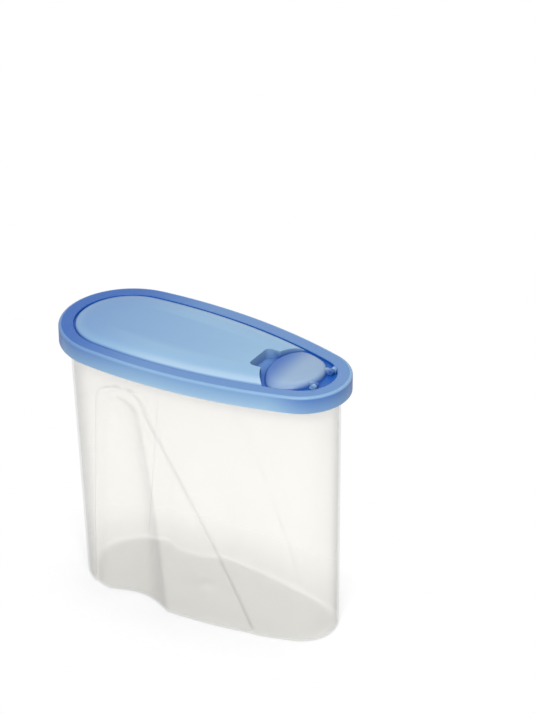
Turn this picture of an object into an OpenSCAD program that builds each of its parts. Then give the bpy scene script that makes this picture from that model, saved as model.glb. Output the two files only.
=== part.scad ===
// Cereal container with a lift-off lid and a flip-up spout flap.
// The plan is an egg: a wide round rear end at -X, a narrow pouring tip at +X.
// The origin is the middle of the box that the standing container fills, on its base.

/* [Lid] */
// Length of the lid, which is the length of the whole container
lid_l = 240; // [220:1:260]
// Radius of the wide rear end of the lid
lid_rear_r = 54; // [50:0.5:58]
// Radius of the narrow tip of the lid
lid_tip_r = 38; // [34:0.5:42]
// Radius of the two long sides of the lid
lid_side_r = 404; // [340:1:500]
// Height of the rim of the lid above the table
lid_z = 218.5; // [205:0.5:235]
// Height of the skirt that hangs round the outside
skirt_h = 13; // [11:0.5:16]
// Thickness of the moulded walls of the lid
lid_t = 1.5; // [1.2:0.1:1.8]
// Radius of the outer edge of the rim
rim_edge_r = 1.9; // [1.2:0.1:2.4]
// Width of the flat rim, from the skirt to the groove
rim_w = 11.3; // [10.8:0.1:12.5]
// Width of the groove between the rim and the panel
groove_w = 0.9; // [0.7:0.1:1.2]
// Depth of the groove below the rim
groove_d = 1.9; // [1.2:0.1:2.2]
// Rounding of the edge where the rim drops into the groove
groove_edge = 0.8; // [0.5:0.1:1.1]
// Draft of the wall of the groove
groove_draft = 0.1; // [0.05:0.05:0.2]
// Height of the middle of the crowned panel above the rim
crown_h = 3; // [2:0.25:4]
// Width over which the panel climbs from the groove to its flat middle
crown_w = 20; // [16:1:24]
// Depth of the plug wall that goes into the mouth, below the rim
plug_h = 11.5; // [9:0.5:14]
// Gap between the plug wall and the mouth
plug_gap = 0.5; // [0.3:0.05:0.8]

/* [Container] */
// Distance from the outline of the lid to the wall of the container
wall_in = 8.1; // [7.6:0.1:8.6]
// Thickness of the wall of the container
wall_t = 1.5; // [1.2:0.1:1.8]
// Thickness of the floor
floor_t = 1.8; // [1.5:0.1:2.5]
// Distance from the rear end of the lid in to the rear end of the base
base_rear_in = 16; // [12:0.5:20]
// Distance from the tip of the lid in to the tip of the base
base_tip_in = 6.7; // [6:0.5:12]
// Radius of the rear end of the base
base_rear_r = 42.7; // [38:0.5:45]
// Radius of the tip of the base
base_tip_r = 28.5; // [26:0.5:31]
// Radius of the long sides of the base
base_side_r = 333; // [300:1:400]
// Radius of the rounded bottom edge
foot_r = 3; // [2.5:0.5:6]
// Reach of the flange under the lid, from the wall outwards
flange_w = 5.6; // [4:0.1:5.8]
// Thickness of that flange
flange_t = 1.3; // [1:0.1:1.6]
// Depth from the mouth to the top of the flange
flange_drop = 2.6; // [2:0.2:5]
// Radius of the gate mark under the middle of the floor
gate_r = 7; // [5:0.5:9]
// Depth of the gate mark
gate_d = 0.8; // [0.4:0.1:1]

/* [Side panels] */
// Height where the arch of each outer panel starts
panel_spring_z = 172; // [160:1:176]
// Height of the top of that arch
panel_top_z = 189.5; // [186:0.5:194]
// Place of the top of that arch
panel_top_x = -43; // [-46:0.5:-40]
// Place of the rear edge of the panel at the base
panel_rear_foot_x = -79.5; // [-82:0.5:-76]
// Place of the rear edge of the panel where its arch starts
panel_rear_x = -68; // [-70:0.5:-65]
// Place of the sweeping front edge of the panel at the base
sweep_foot_x = 61; // [50:0.5:66]
// Place of the sweeping edge half way to the arch
sweep_mid_x = 23.5; // [18:0.5:28]
// Place of the sweeping edge where the arch starts
sweep_top_x = -24; // [-27:0.5:-20]
// Depth of the panel at the base
panel_foot_d = 1.3; // [0.8:0.1:3]
// Depth of the panel at its arch
panel_top_d = 1.2; // [0.8:0.1:1.8]
// Width of the sloping edge of the panel
panel_edge_w = 2; // [1.4:0.1:3]
// Height of the sloping edge at the top of the arch
panel_edge_h = 1; // [0.8:0.1:1.4]

/* [Grip] */
// Height where the arch of each grip hollow starts
grip_spring_z = 166; // [156:1:170]
// Height of the top of that arch
grip_top_z = 180; // [176:0.5:183]
// Place of the top of that arch
grip_top_x = -46; // [-48:0.5:-44]
// Place of the rear edge of the grip at the base
grip_rear_foot_x = -65; // [-70:0.5:-62]
// Place of the rear edge of the grip where its arch starts
grip_rear_x = -58.5; // [-61:0.5:-56]
// Place of the front edge of the grip at the base
grip_front_foot_x = -9; // [-12:0.5:-4]
// Place of the front edge of the grip half way up
grip_front_mid_x = -16.5; // [-20:0.5:-13]
// Place of the front edge of the grip where its arch starts
grip_front_x = -28.5; // [-32:0.5:-26]
// Depth of the hollow below the panel, at the base
grip_foot_d = 9.8; // [7:0.1:11]
// Depth of the hollow below the panel, at its arch
grip_top_d = 3.2; // [2:0.1:5]
// Height of the edge of the hollow at the top of its arch
grip_edge_h = 1.2; // [0.8:0.1:1.6]

/* [Spout] */
// Radius of the round rear edge of the flap
flap_r = 38; // [35:0.5:40]
// Distance from the tip of the lid back to the centre of that rear edge
flap_back = 24; // [22:0.5:26]
// Radius of the round nose of the flap
nose_r = 30; // [26:0.5:32]
// Distance from the tip of the lid back to the front of the nose
nose_back = 20; // [19:0.5:22]
// Radius that softens the corners of the flap
corner_r = 1.6; // [1:0.1:2]
// Width over which the edge of the flap rolls down
roll_w = 4.5; // [3:0.25:5]
// Height of the upright foot of that edge
roll_foot = 0.4; // [0.3:0.05:0.6]
// Width of the channel behind the rear edge of the flap
channel_w = 3.5; // [2.5:0.1:4.5]
// Gap between the flap and the sides of its well
flap_gap = 0.6; // [0.4:0.05:1]
// Thickness of the flap
flap_t = 1.4; // [1.2:0.1:1.6]
// Depth of the seat of the flap below the rim
seat_d = 2.3; // [2:0.1:3]
// Width of the seat under the edge of the flap
seat_w = 3.4; // [2.8:0.1:4.4]
// Depth of the lip of the flap below the seat
lip_h = 2; // [1:0.1:2.2]
// Thickness of that lip
lip_t = 1.2; // [1:0.1:1.5]
// Gap between the lip and the opening
lip_gap = 0.6; // [0.5:0.05:1]

/* [Finger pocket] */
// Length of the pocket behind the rear edge of the flap
pocket_l = 12; // [10:0.5:15]
// Width of the pocket
pocket_w = 27.4; // [22:0.2:30]
// Radius of its corners
pocket_r = 4; // [3:0.25:6]
// Depth of the pocket below the rim
pocket_d = 5.3; // [4.5:0.1:8]
// Reach of the pocket under the rear edge of the flap
pocket_under = 1.1; // [0.8:0.1:1.3]

/* [Hinge] */
// Distance from the nose of the flap forward to the hinge pins
hinge_out = 1.5; // [1:0.1:2.2]
// Height of the hinge pins above the seat
hinge_up = 2.3; // [2.2:0.1:2.8]
// Radius of the hinge pins
pin_r = 1.2; // [1:0.05:1.5]
// Length of each hinge pin
pin_l = 2.4; // [1.8:0.1:3]
// Radial clearance of the pins in their bores
pin_gap = 0.05; // [0.02:0.01:0.1]
// Radius of the knuckles of the flap
knuckle_r = 1.8; // [1.6:0.1:2]
// Radius of the ears round the pins
ear_r = 2.2; // [2.1:0.1:2.6]
// Length of the arms from the nose back to the front wall
arm_l = 3.5; // [3:0.1:4.5]
// Inner face of each knuckle, from the middle
knuckle_y = 9.5; // [8:0.1:11]
// Width of each knuckle
knuckle_w = 3.4; // [2.5:0.1:4]
// Gap between each knuckle and its ear
ear_gap = 0.4; // [0.3:0.05:0.6]
// Width of each ear
ear_w = 3.4; // [2.8:0.1:4]

/* [Hidden] */
$fn = 96;

base_rear_x = -lid_l / 2 + base_rear_in;
base_tip_x = lid_l / 2 - base_tip_in;
flap_x = lid_l / 2 - flap_back;
nose_x = lid_l / 2 - nose_back;
pocket_x = flap_x - flap_r - pocket_l;
hinge_x = nose_x + hinge_out;

// Steps round half of the outline: rear end, side and tip
n_rear = 11;
n_side = 20;
n_tip = 9;
n_half = n_rear + n_side + n_tip;

lid_under_z = lid_z - lid_t;
seat_z = lid_z - seat_d;
crown_z = lid_z + crown_h;
plug_in = wall_in + wall_t + plug_gap;
well_in = plug_in + lid_t;
hinge_z = seat_z + hinge_up;
well_r = flap_r + channel_w;
ear_y = knuckle_y + knuckle_w + ear_gap;
panel_in = rim_w + groove_w;

// Middle of the flap, and the steps round it and from its middle to its lip
flap_mid_x = (flap_x - flap_r + nose_x) / 2;
n_flap = 72;
field_steps = [0.12, 0.35, 0.6, 0.82];

// How far a cutter reaches past the surface that it cuts
past = 1;
// Shift of the underside of the panel towards the middle
under_in = lid_t * 0.8;
// Exponent of the curve of the crown
crown_curve = 0.5;
// Least thickness of the floor's rounding, and the slope under the flange
floor_step = 0.5;
shoulder_h = 1;
// Limit on how far a ring's corners move when it is inset
corner_limit = 0.6;
foot_in_r = foot_r - wall_t;

// Share of an arch's width, and of the hollow's depth, that is left at its very top
arch_flat = 0.2;
arch_depth = 0.3;

// An egg: [rear centre, rear radius, tip centre, tip radius, side radius, side centre x, y]
function egg(rear, tip, r1, r2, rs) =
  let (x1 = rear + r1, x2 = tip - r2, d = x2 - x1, a = rs - r1, b = rs - r2)
  let (u = (a * a - b * b + d * d) / (2 * d))
  [x1, r1, x2, r2, rs, x1 + u, -sqrt(a * a - u * u)];

// The same egg, larger all round by k
function grow(e, k) = [e[0], e[1] + k, e[2], e[3] + k, e[4] + k, e[5], e[6]];

// Where the rear circle and the tip circle meet the side arc
function rear_join(e) = e[5] + e[4] * (e[0] - e[5]) / (e[4] - e[1]);
function tip_join(e) = e[5] + e[4] * (e[2] - e[5]) / (e[4] - e[3]);

// Half the width of the egg at x
function half_w(e, x) =
  x < rear_join(e) ? sqrt(max(0, pow(e[1], 2) - pow(x - e[0], 2)))
  : x > tip_join(e) ? sqrt(max(0, pow(e[3], 2) - pow(x - e[2], 2)))
  : e[6] + sqrt(pow(e[4], 2) - pow(x - e[5], 2));

function mix(a, b, t) = a + (b - a) * t;

// Points of half an outline from the rear to the tip, and the whole ring from them
function rear_x(e, to, i) = e[0] - e[1] * cos(acos(max(-1, min(1, (e[0] - to) / e[1]))) * i / n_rear);
function tip_x(e, i) = e[2] + e[3] * cos(acos((tip_join(e) - e[2]) / e[3]) * (1 - i / n_tip));
function even_x(e, i) =
  i <= n_rear ? rear_x(e, rear_join(e), i)
  : i <= n_rear + n_side ? mix(rear_join(e), tip_join(e), (i - n_rear) / n_side)
  : tip_x(e, i - n_rear - n_side);
function whole(half) =
  concat(half, [for (i = [n_half - 1:-1:1]) [half[i][0], -half[i][1]]]);
function egg_ring(e) =
  whole([for (i = [0:n_half]) let (x = even_x(e, i)) [x, -half_w(e, x)]]);

lid_egg = egg(-lid_l / 2, lid_l / 2, lid_rear_r, lid_tip_r, lid_side_r);
wall_egg = grow(lid_egg, -wall_in);
base_egg = egg(base_rear_x, base_tip_x, base_rear_r, base_tip_r, base_side_r);
function wall_at(z) = mix(base_egg, wall_egg, min(1, z / (lid_z - skirt_h)));
function body_egg(z) = let (e = wall_at(z)) egg(e[0] - e[1], e[2] + e[3], e[1], e[3], e[4]);

// Height of the crowned panel at a distance in from the groove
function crown_at(k) = lid_z - groove_d + (groove_d + crown_h) * sin(90 * pow(min(1, k / crown_w), crown_curve));

// A closed skin through rings of equal length, capped at both ends
module skin(rings) {
  n = len(rings[0]);
  m = len(rings);
  sides = [for (j = [0:m - 2], i = [0:n - 1]) each [
    [j * n + i, (j + 1) * n + (i + 1) % n, j * n + (i + 1) % n],
    [j * n + i, (j + 1) * n + i, (j + 1) * n + (i + 1) % n]]];
  polyhedron(
    points = [for (r = rings) each r],
    faces = concat([[for (i = [0:n - 1]) i]], sides, [[for (i = [n - 1:-1:0]) (m - 1) * n + i]]),
    convexity = 8);
}

function lift(ring, z) = [for (p = ring) [p[0], p[1], z]];

// Height fractions 0 to 1 on an arch, and the width that is left there
function arch(z, spring, top, flat) =
  z <= spring ? 1 : max(flat, sqrt(max(0, 1 - pow((z - spring) / (top - spring), 2))));

// A parabola through three places at the base, half way and at the spring
function through(a, b, c, t) = a * (1 - t) * (1 - 2 * t) + 4 * b * t * (1 - t) + c * t * (2 * t - 1);

function panel_rear(z) =
  let (t = min(1, z / panel_spring_z), x = mix(panel_rear_foot_x, panel_rear_x, t))
  mix(panel_top_x, x, arch(z, panel_spring_z, panel_top_z, arch_flat));
function panel_front(z) =
  let (t = min(1, z / panel_spring_z), x = through(sweep_foot_x, sweep_mid_x, sweep_top_x, t))
  mix(panel_top_x, x, arch(z, panel_spring_z, panel_top_z, arch_flat));
function grip_rear(z) =
  let (t = min(1, z / grip_spring_z), x = mix(grip_rear_foot_x, grip_rear_x, t))
  mix(grip_top_x, x, arch(z, grip_spring_z, grip_top_z, arch_flat));
function grip_front(z) =
  let (t = min(1, z / grip_spring_z), x = through(grip_front_foot_x, grip_front_mid_x, grip_front_x, t))
  mix(grip_top_x, x, arch(z, grip_spring_z, grip_top_z, arch_flat));

function panel_d(z) = z > panel_top_z ? 0 : mix(panel_foot_d, panel_top_d, z / panel_top_z);
function grip_d(z) =
  z > grip_top_z ? 0
  : mix(grip_foot_d, grip_top_d, z / grip_top_z) * arch(z, grip_spring_z, grip_top_z, arch_depth);

// Columns of the side at height z, as [x, depth], from the rear edge of the panel to its front
function side_columns(z) =
  let (zp = min(z, panel_top_z), zg = min(z, grip_top_z), h = panel_edge_w / 2)
  let (a = panel_rear(zp), s = panel_front(zp), ag = panel_rear(zg), sg = panel_front(zg))
  let (fb = (grip_rear(zg) - ag) / (sg - ag), fc = (grip_front(zg) - ag) / (sg - ag))
  let (b = mix(a, s, fb), c = mix(a, s, fc), d = panel_d(z), g = grip_d(z))
  concat(
    [[a - h, 0], [a + h, d]],
    [for (t = [-0.98, -0.8, -0.5, 0, 0.5, 0.8, 0.98]) [mix(b, c, (t + 1) / 2), d + g * cos(90 * t)]],
    [for (t = [0.2, 0.45, 0.7]) [mix(c, s - h, t), d]],
    [[s - h, d], [s + h, 0]]);

// Half of an outline of the egg e whose side follows the columns
function half_ring(e, cols) =
  let (m = len(cols), first = n_rear + m - 1, last = n_rear + n_side)
  [for (i = [0:n_half])
    let (k = i - n_rear)
    let (x = i <= n_rear ? rear_x(e, cols[0][0], i)
      : k < m ? cols[k][0]
      : i <= last ? mix(cols[m - 1][0], tip_join(e), (i - first) / (last - first))
      : tip_x(e, i - last))
    [x, -(half_w(e, x) - (k > 0 && k < m - 1 ? cols[k][1] : 0))]];

// The outline of the body at height z, cut in by the rounded bottom edge, with the panels of height zs
function body_ring(z, cut, zs) =
  whole(half_ring(grow(body_egg(z), -cut), side_columns(zs)));

// A ring moved in by t, square to itself
function inset(ring, t) =
  let (n = len(ring))
  [for (i = [0:n - 1])
    let (a = ring[(i + n - 1) % n], b = ring[(i + 1) % n], p = ring[i])
    let (u = (p - a) / norm(p - a), v = (b - p) / norm(b - p), w = u + v)
    let (m = [-w[1], w[0]] / norm(w), c = max(corner_limit, m * [-u[1], u[0]]))
    p + m * t / c];

function round_in(z, r) = z >= r ? 0 : r - sqrt(r * r - pow(r - z, 2));

low_rows = [for (t = [0.1, 0.3, 0.6]) t * foot_r];
mid_rows = [for (t = [0, 0.18, 0.36, 0.54, 0.7, 0.86]) mix(foot_r, grip_spring_z, t)];
arch_rows = [
  grip_spring_z,
  mix(grip_spring_z, grip_top_z, 0.45),
  mix(grip_spring_z, grip_top_z, 0.78),
  mix(grip_spring_z, grip_top_z, 0.95),
  grip_top_z,
  grip_top_z + grip_edge_h,
  mix(panel_spring_z, panel_top_z, 0.72),
  mix(panel_spring_z, panel_top_z, 0.88),
  mix(panel_spring_z, panel_top_z, 0.96),
  panel_top_z,
  panel_top_z + panel_edge_h];

mouth_z = lid_under_z;
flange_z = mouth_z - flange_drop;
shoulder_z = flange_z - flange_t - shoulder_h;
rows = concat(low_rows, mid_rows, arch_rows);
inner_rows = [for (i = [len(rows) - 1:-1:0]) if (rows[i] > floor_t + floor_step) rows[i]];

function outer_ring(z) = lift(body_ring(z, round_in(z, foot_r), z), z);
function inner_ring(z) =
  lift(inset(body_ring(z, round_in(z - floor_t, foot_in_r), max(0, z - wall_t)), wall_t), z);
function gate_ring(r, z) = [for (p = body_ring(0, foot_r, 0)) let (q = p / norm(p) * r) [q[0], q[1], z]];
function mouth_ring(k, z) =
  let (e = grow(wall_egg, k))
  lift(whole(half_ring(e, side_columns(shoulder_z))), z);

// One-piece tub: floor, tapering egg wall, side panels, grip hollows and the flange under the lid
module container_body() {
  color([0.95, 0.95, 0.93, 0.5])
    skin(concat(
      [gate_ring(gate_r - gate_d, gate_d), gate_ring(gate_r, 0), outer_ring(0)],
      [for (z = rows) outer_ring(z)],
      [mouth_ring(0, shoulder_z), mouth_ring(flange_w, flange_z - flange_t), mouth_ring(flange_w, flange_z)],
      [mouth_ring(0, flange_z), mouth_ring(0, mouth_z), mouth_ring(-wall_t, mouth_z)],
      [mouth_ring(-wall_t, shoulder_z)],
      [for (z = inner_rows) inner_ring(z)],
      [inner_ring(floor_t), gate_ring(gate_r + gate_d, floor_t), gate_ring(gate_r, floor_t + gate_d)]));
}

// Rings of the lid, by distance in from its outline and height
function lid_ring(k, z) = lift(egg_ring(grow(lid_egg, -k)), z);

crown_steps = [0, 0.03, 0.12, 0.3, 0.6, 1];
function crown_rings(dz, dk) =
  [for (t = crown_steps) lid_ring(panel_in + dk + t * crown_w, crown_at(t * crown_w) - dz)];

// The rim with its skirt and plug, the groove and the crowned panel, in one skin
module lid_shell() {
  edge = rim_edge_r * (1 - cos(45));
  under = crown_rings(lid_t, under_in);
  under_z = lid_z - groove_d - lid_t;
  foot_z = lid_z - plug_h;
  skin(concat(
    [for (i = [len(under) - 1:-1:0]) under[i]],
    [lid_ring(well_in, under_z), lid_ring(well_in, foot_z), lid_ring(plug_in, foot_z)],
    [lid_ring(plug_in, lid_under_z)],
    [lid_ring(lid_t, lid_under_z), lid_ring(lid_t, lid_z - skirt_h), lid_ring(0, lid_z - skirt_h)],
    [lid_ring(0, lid_z - rim_edge_r), lid_ring(edge, lid_z - edge), lid_ring(rim_edge_r, lid_z)],
    [lid_ring(rim_w - groove_edge, lid_z), lid_ring(rim_w, lid_z - groove_edge)],
    [lid_ring(rim_w + groove_draft, lid_z - groove_d)],
    crown_rings(0, 0)));
}

// Everything below the crowned panel, lowered by dz
module under_crown(dz) {
  skin(concat([lid_ring(panel_in, lid_z - plug_h)], crown_rings(dz, 0)));
}

// Reach from the middle of the flap, in the direction a, to a circle on the x axis and to an egg
function to_circle(a, x, r) =
  let (d = flap_mid_x - x, b = d * cos(a))
  sqrt(b * b - d * d + r * r) - b;
function to_side(a, e) =
  let (dx = flap_mid_x - e[5], dy = -e[6], b = dx * cos(a) + dy * abs(sin(a)))
  sqrt(b * b - dx * dx - dy * dy + e[4] * e[4]) - b;
function to_egg(a, e) =
  let (t = to_side(a, e))
  flap_mid_x + t * cos(a) <= tip_join(e) ? t : to_circle(a, e[2], e[3]);

// Outline of the flap, smaller by k: a round rear edge, the sides of the egg and a round nose
function flap_reach(a, k) =
  let (rear = to_circle(a, flap_x, flap_r - k))
  let (side = to_egg(a, grow(lid_egg, -(well_in + flap_gap + k))))
  let (nose = to_circle(a, nose_x - nose_r, nose_r - k))
  let (soft = exp(-rear / corner_r) + exp(-side / corner_r) + exp(-nose / corner_r))
  -corner_r * ln(soft);
function flap_outline(k) =
  [for (i = [0:n_flap - 1])
    let (a = 360 * i / n_flap, r = flap_reach(a, k))
    [flap_mid_x + r * cos(a), r * sin(a)]];

// Distance of a place in the front half of the lid from its outline
function depth_in(p) =
  let (e = lid_egg, y = abs(p[1]), q = [p[0] - e[5], y - e[6]])
  -q[0] * e[6] > (e[2] - e[5]) * q[1] ? e[3] - norm([p[0] - e[2], y]) : e[4] - norm(q);

// Height of the flap at a place, k in from its edge, lowered by its thickness for the underside
function roll_z(p, k, thick) =
  let (low = seat_z + roll_foot, top = crown_at(max(0, depth_in(p) - panel_in)) - thick)
  low + max(0, top - low) * sqrt(1 - pow(1 - min(1, k / roll_w), 2));
function roll_ring(k, thick) =
  [for (p = flap_outline(k + thick)) [p[0], p[1], roll_z(p, k, thick)]];
function field_ring(k, thick, share) =
  [for (p = flap_outline(k + thick))
    let (q = [mix(flap_mid_x, p[0], share), p[1] * share])
    [q[0], q[1], roll_z(q, roll_w, thick)]];

module well_plan(rear_r, side_in) {
  intersection() {
    translate([flap_x, 0]) circle(rear_r);
    polygon(egg_ring(grow(lid_egg, -side_in)));
  }
}

module pocket_plan(grown) {
  half = pocket_w / 2 + grown;
  r = pocket_r + grown;
  rear = pocket_x - grown;
  difference() {
    union() {
      for (s = [-1, 1])
        translate([rear + r, s * (half - r)]) circle(r);
      translate([rear + r, -half]) square([flap_x - rear - r, 2 * half]);
      translate([rear, r - half]) square([2 * r, 2 * (half - r)]);
    }
    translate([flap_x, 0]) circle(flap_r - pocket_under - grown);
  }
}

module raise(z0, z1) {
  translate([0, 0, z0]) linear_extrude(z1 - z0) children();
}

// A pair of rods on the hinge line, from y0 to y1 on each side
module hinge_rods(r, y0, y1) {
  for (s = [-1, 1])
    translate([hinge_x, s > 0 ? y1 : -y0, hinge_z]) rotate([90, 0, 0]) cylinder(h = y1 - y0, r = r);
}

module ears() {
  hinge_rods(ear_r, ear_y, ear_y + ear_w);
  for (s = [-1, 1])
    translate([hinge_x - ear_r, s > 0 ? ear_y : -ear_y - ear_w, seat_z - lid_t / 2])
      cube([2 * ear_r, ear_w, hinge_up + lid_t / 2]);
}

// The lid without its ears: the shell with the well, the seat, the pouring opening and the pocket
module lid_plain() {
  tub_z = lid_z - pocket_d - lid_t;
  difference() {
    union() {
      lid_shell();
      raise(seat_z - lid_t, seat_z) well_plan(well_r + lid_t / 2, well_in - lid_t / 2);
      intersection() {
        under_crown(lid_t / 2);
        raise(seat_z - lid_t, crown_z) well_plan(well_r + lid_t, well_in);
      }
      raise(tub_z, crown_z - lid_t / 2) pocket_plan(lid_t);
    }
    raise(seat_z, crown_z + past) well_plan(well_r, well_in);
    raise(tub_z + lid_t, crown_z + past) pocket_plan(0);
    raise(seat_z - lid_t - past, seat_z + past) polygon(flap_outline(seat_w));
  }
}

// Lid: press-on cover with the spout's well and two ears, bored for the pins of the flap
module lid() {
  color([0.45, 0.62, 0.85, 0.8])
    difference() {
      union() {
        lid_plain();
        ears();
      }
      hinge_rods(pin_r + pin_gap, ear_y - past, ear_y + pin_l);
    }
}

// Flap: a shallow cap with a rolled edge, a lip that drops into the opening, and two pins
module spout_flap() {
  lip_out = seat_w + lip_gap;
  lip_in = lip_out + lip_t;
  color([0.55, 0.7, 0.88, 0.8])
    union() {
      skin(concat(
        [for (t = field_steps) field_ring(lip_in - flap_t, flap_t, t)],
        [roll_ring(lip_in - flap_t, flap_t), lift(flap_outline(lip_in), seat_z - lip_h)],
        [lift(flap_outline(lip_out), seat_z - lip_h), roll_ring(lip_out - flap_t, flap_t)],
        [for (t = [0.3, 0.12, 0.03, 0]) roll_ring(t * roll_w, flap_t)],
        [lift(flap_outline(flap_t), seat_z), lift(flap_outline(0), seat_z)],
        [for (t = [0, 0.03, 0.12, 0.3, 0.6, 1]) roll_ring(t * roll_w, 0)],
        [for (i = [len(field_steps) - 1:-1:0]) field_ring(roll_w, 0, field_steps[i])]));
      hinge_rods(knuckle_r, knuckle_y, knuckle_y + knuckle_w);
      hinge_rods(pin_r, knuckle_y, ear_y + pin_l - ear_gap);
      for (s = [-1, 1])
        translate([nose_x - arm_l, s > 0 ? knuckle_y : -knuckle_y - knuckle_w, hinge_z - knuckle_r])
          cube([hinge_x - nose_x + arm_l, knuckle_w, 2 * knuckle_r]);
    }
}

container_body();
lid();
spout_flap();
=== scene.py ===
# %% [markdown]
# # A cereal container with a flip spout
# The object is three plastic mouldings: a tall milky tub, a blue lid that presses on
# and a small blue flap that flips up to pour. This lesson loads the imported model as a
# fixed frame and then makes each moulding again with fine, rounded surfaces, because
# soft light on smooth plastic shows every facet.

# %% Load the frame
import math

import bmesh
import bpy
from mathutils import Matrix, Vector


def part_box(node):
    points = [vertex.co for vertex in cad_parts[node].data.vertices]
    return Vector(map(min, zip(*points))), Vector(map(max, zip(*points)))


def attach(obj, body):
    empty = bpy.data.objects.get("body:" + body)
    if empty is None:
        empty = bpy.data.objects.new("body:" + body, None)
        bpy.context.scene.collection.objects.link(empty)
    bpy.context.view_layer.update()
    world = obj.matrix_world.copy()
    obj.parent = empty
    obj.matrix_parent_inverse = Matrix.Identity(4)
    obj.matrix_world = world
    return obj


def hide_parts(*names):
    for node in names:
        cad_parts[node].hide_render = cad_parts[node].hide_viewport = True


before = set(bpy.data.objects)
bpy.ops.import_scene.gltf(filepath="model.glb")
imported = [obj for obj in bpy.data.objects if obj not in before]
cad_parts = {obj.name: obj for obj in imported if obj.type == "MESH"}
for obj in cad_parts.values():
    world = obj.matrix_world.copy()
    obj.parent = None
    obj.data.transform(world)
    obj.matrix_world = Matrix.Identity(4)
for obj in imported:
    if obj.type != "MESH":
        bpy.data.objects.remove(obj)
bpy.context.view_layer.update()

# %% [markdown]
# ## The camera
# The photograph looks down on the long side from the front right, with a long lens.
# The camera was fitted to the outlines of the lid and the base, so its angles, its
# distance and its focal length are measured values. It comes first, so that every
# later step can be checked against the photograph.

# %% Camera
AZIMUTH = math.radians(31.28)
ELEVATION = math.radians(29.34)
FOCAL_PIXELS = 2524.4
PHOTO_HEIGHT = 714
SENSOR_MM = 36.0
CAMERA_PLACE = Vector((0.88476, -1.36710, 1.12182))

back = Vector((
    math.sin(AZIMUTH) * math.cos(ELEVATION),
    -math.cos(AZIMUTH) * math.cos(ELEVATION),
    math.sin(ELEVATION),
))
camera = bpy.data.objects.new("camera", bpy.data.cameras.new("camera"))
camera.data.sensor_width = SENSOR_MM
camera.data.lens = FOCAL_PIXELS * SENSOR_MM / PHOTO_HEIGHT
camera.data.clip_start = 0.1
camera.data.clip_end = 20
camera.location = CAMERA_PLACE
camera.rotation_mode = "QUATERNION"
camera.rotation_quaternion = (-back).to_track_quat("-Z", "Y")
bpy.context.scene.collection.objects.link(camera)
bpy.context.scene.camera = camera
print("lens:", round(camera.data.lens, 1), "mm")

# %% [markdown]
# ## The egg
# Seen from above, the lid and the tub are eggs: a wide round rear end, a narrow round
# tip and two long side arcs that touch both circles. Moving the outline in or out by a
# few millimetres keeps the same four centres, and only the radii change. So one small
# record of centres and radii describes every outline in this object.

# %% The egg outline
MM = 0.001


def egg(rear, tip, rear_r, tip_r, side_r):
    """Centres and radii of an egg from x = rear to x = tip, in millimetres."""
    x1, x2 = rear + rear_r, tip - tip_r
    a, b, d = side_r - rear_r, side_r - tip_r, x2 - x1
    u = (a * a - b * b + d * d) / (2 * d)
    return {"x1": x1, "r1": rear_r, "x2": x2, "r2": tip_r, "rs": side_r,
            "sx": x1 + u, "sy": math.sqrt(a * a - u * u)}


def grow(e, k):
    """The same egg, larger all round by k."""
    return dict(e, r1=e["r1"] + k, r2=e["r2"] + k, rs=e["rs"] + k)


def rear_join(e):
    return e["sx"] + e["rs"] * (e["x1"] - e["sx"]) / (e["rs"] - e["r1"])


def tip_join(e):
    return e["sx"] + e["rs"] * (e["x2"] - e["sx"]) / (e["rs"] - e["r2"])


def half_width(e, x):
    """Half the width of the egg at x."""
    if x < rear_join(e):
        return math.sqrt(max(0.0, e["r1"] ** 2 - (x - e["x1"]) ** 2))
    if x > tip_join(e):
        return math.sqrt(max(0.0, e["r2"] ** 2 - (x - e["x2"]) ** 2))
    return math.sqrt(e["rs"] ** 2 - (x - e["sx"]) ** 2) - e["sy"]


def depth_in(e, x, y):
    """How far the point lies inside the egg."""
    y = -abs(y)
    if (x - e["sx"]) * e["sy"] < (e["x1"] - e["sx"]) * (e["sy"] - y):
        return e["r1"] - math.hypot(x - e["x1"], y)
    if (x - e["sx"]) * e["sy"] > (e["x2"] - e["sx"]) * (e["sy"] - y):
        return e["r2"] - math.hypot(x - e["x2"], y)
    return e["rs"] - math.hypot(x - e["sx"], y - e["sy"])


# %% [markdown]
# Many sizes below change with the height, or with the distance from an edge. Two small
# helpers blend them: one in a straight line, one with a soft start and end.

# %% Blending
def mix(a, b, t):
    return a + (b - a) * t


def smooth(t):
    """A soft step from 0 to 1."""
    t = max(0.0, min(1.0, t))
    return t * t * (3 - 2 * t)


# %% [markdown]
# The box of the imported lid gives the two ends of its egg. The base is a smaller egg,
# drawn in more at the rear than at the tip. At the mouth the wall follows the lid, a
# little inside its skirt.

# %% Eggs of the lid, the base and the mouth
LID_REAR_R, LID_TIP_R, LID_SIDE_R = 54, 38, 404
BASE_REAR_R, BASE_TIP_R, BASE_SIDE_R = 42.7, 28.5, 333
BASE_REAR_IN, BASE_TIP_IN = 16, 6.7
WALL_IN = 8.1

lid_low, lid_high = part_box("lid")
REAR_X, TIP_X = lid_low.x / MM, lid_high.x / MM
LID_EGG = egg(REAR_X, TIP_X, LID_REAR_R, LID_TIP_R, LID_SIDE_R)
BASE_EGG = egg(REAR_X + BASE_REAR_IN, TIP_X - BASE_TIP_IN, BASE_REAR_R, BASE_TIP_R, BASE_SIDE_R)
WALL_EGG = grow(LID_EGG, -WALL_IN)
widest = 2 * max(half_width(LID_EGG, x) for x in range(round(REAR_X), round(TIP_X)))
print("the lid is", round(widest, 1), "mm wide")

# %% [markdown]
# ## Small helpers
# A mesh is built in millimetres in a bmesh and turned to metres when it becomes an
# object. Each object stays at the origin, with its place in its mesh.

# %% From bmesh to object
MERGE_MM = 0.002


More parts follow.
